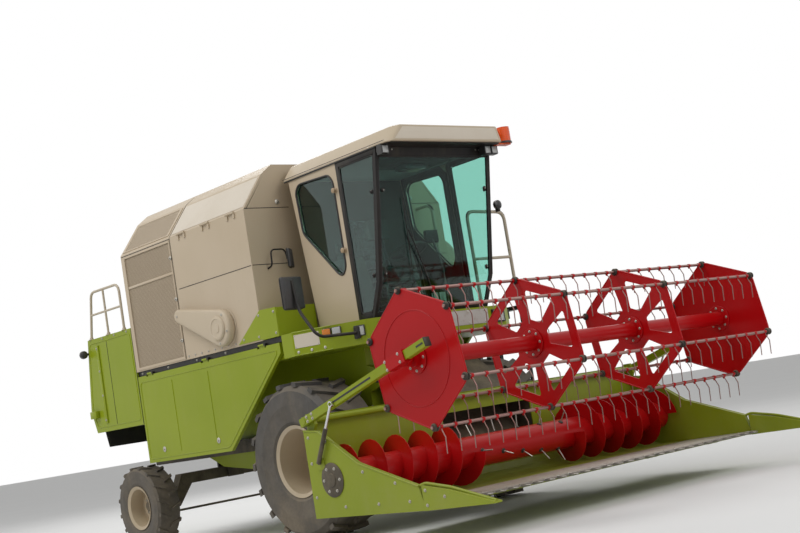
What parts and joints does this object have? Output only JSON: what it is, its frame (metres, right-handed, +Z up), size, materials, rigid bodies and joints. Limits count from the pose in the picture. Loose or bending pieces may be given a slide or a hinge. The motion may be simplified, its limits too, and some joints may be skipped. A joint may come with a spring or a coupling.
{
  "type": "combine harvester",
  "caption": "Self-propelled combine harvester with a reel header, glazed cab, grain tank, folding unloading tube and straw hood.",
  "frame": {"origin": "on the ground, under the middle of the whole machine's box, on its centre line", "axes": "+X forward, in the direction of travel, +Y to the machine's left, +Z up"},
  "size_m": [7.82, 4.69, 3.945],
  "materials": {
    "body_green": "gloss paint, dusty and rubbed at the edges",
    "body_cream": "gloss paint, dusty",
    "moulded_cream": "moulded glass-fibre, satin",
    "reel_red": "gloss red paint, worn",
    "chassis_black": "black chassis paint, dusty",
    "trim_black": "satin black",
    "screen_bronze": "perforated sheet, bronze",
    "engine_grey": "painted casting",
    "tinted_glass": "tinted safety glass",
    "cab_plastic": "moulded, grained",
    "seat_fabric": "woven seat cloth",
    "lamp_housing": "moulded housings with clear lenses",
    "beacon_amber": "clear amber",
    "bare_steel": "bare steel, worn bright",
    "chrome_rod": "hard chrome",
    "tyre_rubber": "dusty rubber",
    "rim_cream": "painted rim"
  },
  "bodies": {
    "chassis": {"frame_rails": "chassis_black", "front_axle": "chassis_black", "rear_axle": "chassis_black", "threshing_body": "body_green", "straw_hood": "body_green", "sill_strips": "trim_black", "grain_tank": "body_cream", "engine_hood": "body_cream", "engine_block": "engine_grey", "radiator_screen": "screen_bronze", "drive_cover": "moulded_cream", "corner_covers": "body_green", "front_platform": "body_green", "cab_shell": "body_cream", "cab_roof": "moulded_cream", "cab_glass": "tinted_glass", "steering_column": "cab_plastic", "driver_seat": "seat_fabric", "side_deck": "trim_black", "rear_rails": "trim_black", "lamps": "lamp_housing", "beacon": "beacon_amber", "mirrors": "trim_black", "exhaust_pipe": "bare_steel", "auger_elbow": "body_cream", "tow_hitch": "chassis_black"},
    "front_wheel_left": {"front_tyre_left": "tyre_rubber", "front_rim_left": "rim_cream"},
    "front_wheel_right": {"front_tyre_right": "tyre_rubber", "front_rim_right": "rim_cream"},
    "rear_knuckle_left": {"knuckle_left": "chassis_black"},
    "rear_knuckle_right": {"knuckle_right": "chassis_black"},
    "rear_wheel_left": {"rear_tyre_left": "tyre_rubber", "rear_rim_left": "rim_cream"},
    "rear_wheel_right": {"rear_tyre_right": "tyre_rubber", "rear_rim_right": "rim_cream"},
    "track_rod": {"tie_rod": "chassis_black"},
    "header": {"feeder_house": "chassis_black", "header_table": "body_green", "crop_dividers": "body_green", "knife_guards": "bare_steel"},
    "intake_auger": {"header_auger": "reel_red"},
    "reel_arms": {"reel_arms": "body_green"},
    "reel_slides": {"reel_carriages": "reel_red"},
    "reel": {"reel_frame": "reel_red", "reel_bars": "reel_red"},
    "header_barrels": {"lift_barrels": "chassis_black"},
    "header_rods": {"lift_rods": "chrome_rod"},
    "reel_barrels": {"reel_lift_barrels": "chassis_black"},
    "reel_rods": {"reel_lift_rods": "chrome_rod"},
    "cab_door": {"door_frame": "body_cream", "door_glass": "tinted_glass"},
    "lid_left": {"tank_lid_left": "body_cream"},
    "lid_right": {"tank_lid_right": "body_cream"},
    "panel_left": {"side_panel_left": "body_green"},
    "panel_right": {"side_panel_right": "body_green"},
    "unloader": {"unload_tube": "body_cream"}
  },
  "joints": [
    {"name": "front_wheel_left_spin", "type": "hinge", "parent": "chassis", "child": "front_wheel_left", "pos_m": [0.31, 1.19, 0.8], "axis": [0, 1, 0], "continuous": true},
    {"name": "front_wheel_right_spin", "type": "hinge", "parent": "chassis", "child": "front_wheel_right", "pos_m": [0.31, -1.19, 0.8], "axis": [0, 1, 0], "continuous": true},
    {"name": "steer_left", "type": "hinge", "parent": "chassis", "child": "rear_knuckle_left", "pos_m": [-3.14, 0.96, 0.49], "axis": [0, 0, 1], "range_deg": [-45, 45]},
    {"name": "steer_right", "type": "hinge", "parent": "chassis", "child": "rear_knuckle_right", "pos_m": [-3.14, -0.96, 0.49], "axis": [0, 0, 1], "range_deg": [-45, 45]},
    {"name": "track_rod_pivot", "type": "hinge", "parent": "rear_knuckle_left", "child": "track_rod", "pos_m": [-3.31, 0.96, 0.37], "axis": [0, 0, 1], "range_deg": [-45, 45]},
    {"name": "rear_wheel_left_spin", "type": "hinge", "parent": "rear_knuckle_left", "child": "rear_wheel_left", "pos_m": [-3.14, 1.215, 0.49], "axis": [0, 1, 0], "continuous": true},
    {"name": "rear_wheel_right_spin", "type": "hinge", "parent": "rear_knuckle_right", "child": "rear_wheel_right", "pos_m": [-3.14, -1.215, 0.49], "axis": [0, 1, 0], "continuous": true},
    {"name": "header_lift", "type": "hinge", "parent": "chassis", "child": "header", "pos_m": [0.83, 0, 1.5], "axis": [0, -1, 0], "range_deg": [-6, 20]},
    {"name": "header_barrel_swing", "type": "hinge", "parent": "chassis", "child": "header_barrels", "pos_m": [0.56, 0, 0.62], "axis": [0, -1, 0], "range_deg": [-4, 12.5]},
    {"name": "header_rod_slide", "type": "slide", "parent": "header_barrels", "child": "header_rods", "axis": [0.9997, 0, 0.026], "range_m": [-0.1, 0.31]},
    {"name": "intake_auger_spin", "type": "hinge", "parent": "header", "child": "intake_auger", "pos_m": [1.935, 0, 0.64], "axis": [0, 1, 0], "continuous": true},
    {"name": "reel_lift", "type": "hinge", "parent": "header", "child": "reel_arms", "pos_m": [1.66, 0, 1.18], "axis": [0, -1, 0], "range_deg": [-8, 20]},
    {"name": "reel_barrel_swing", "type": "hinge", "parent": "header", "child": "reel_barrels", "pos_m": [1.81, 0, 0.8], "axis": [0, -1, 0], "range_deg": [-5, 12]},
    {"name": "reel_rod_slide", "type": "slide", "parent": "reel_barrels", "child": "reel_rods", "axis": [0.5222, 0, 0.8528], "range_m": [-0.05, 0.11]},
    {"name": "reel_reach", "type": "slide", "parent": "reel_arms", "child": "reel_slides", "axis": [0.9664, 0, 0.2571], "range_m": [-0.2, 0.15]},
    {"name": "reel_spin", "type": "hinge", "parent": "reel_slides", "child": "reel", "pos_m": [3.06, 0, 1.54], "axis": [0, 1, 0], "continuous": true},
    {"name": "cab_door_swing", "type": "hinge", "parent": "chassis", "child": "cab_door", "pos_m": [0.9525, 0.692, 2.9], "axis": [0, 0, -1], "range_deg": [0, 85]},
    {"name": "lid_left_swing", "type": "hinge", "parent": "chassis", "child": "lid_left", "pos_m": [-0.79, 1.413, 3.47], "axis": [-1, 0, 0], "range_deg": [0, 90]},
    {"name": "lid_right_swing", "type": "hinge", "parent": "chassis", "child": "lid_right", "pos_m": [-0.79, -1.413, 3.47], "axis": [1, 0, 0], "range_deg": [0, 90]},
    {"name": "panel_left_swing", "type": "hinge", "parent": "chassis", "child": "panel_left", "pos_m": [-1.19, 1.398, 2.032], "axis": [1, 0, 0], "range_deg": [0, 80]},
    {"name": "panel_right_swing", "type": "hinge", "parent": "chassis", "child": "panel_right", "pos_m": [-1.19, -1.398, 2.032], "axis": [-1, 0, 0], "range_deg": [0, 80]},
    {"name": "unloader_swing", "type": "hinge", "parent": "chassis", "child": "unloader", "pos_m": [-0.34, 1.64, 2.68], "axis": [0, 0, -1], "range_deg": [0, 95]}
  ],
  "couplings": [
    {"joint": "steer_right", "follows": "steer_left", "ratio": 1},
    {"joint": "track_rod_pivot", "follows": "steer_left", "ratio": -1},
    {"joint": "header_barrel_swing", "follows": "header_lift", "ratio": 0.588},
    {"joint": "header_rod_slide", "follows": "header_lift", "m_per_rad": 0.8491},
    {"joint": "reel_barrel_swing", "follows": "reel_lift", "ratio": 0.568},
    {"joint": "reel_rod_slide", "follows": "reel_lift", "m_per_rad": 0.3088}
  ]
}
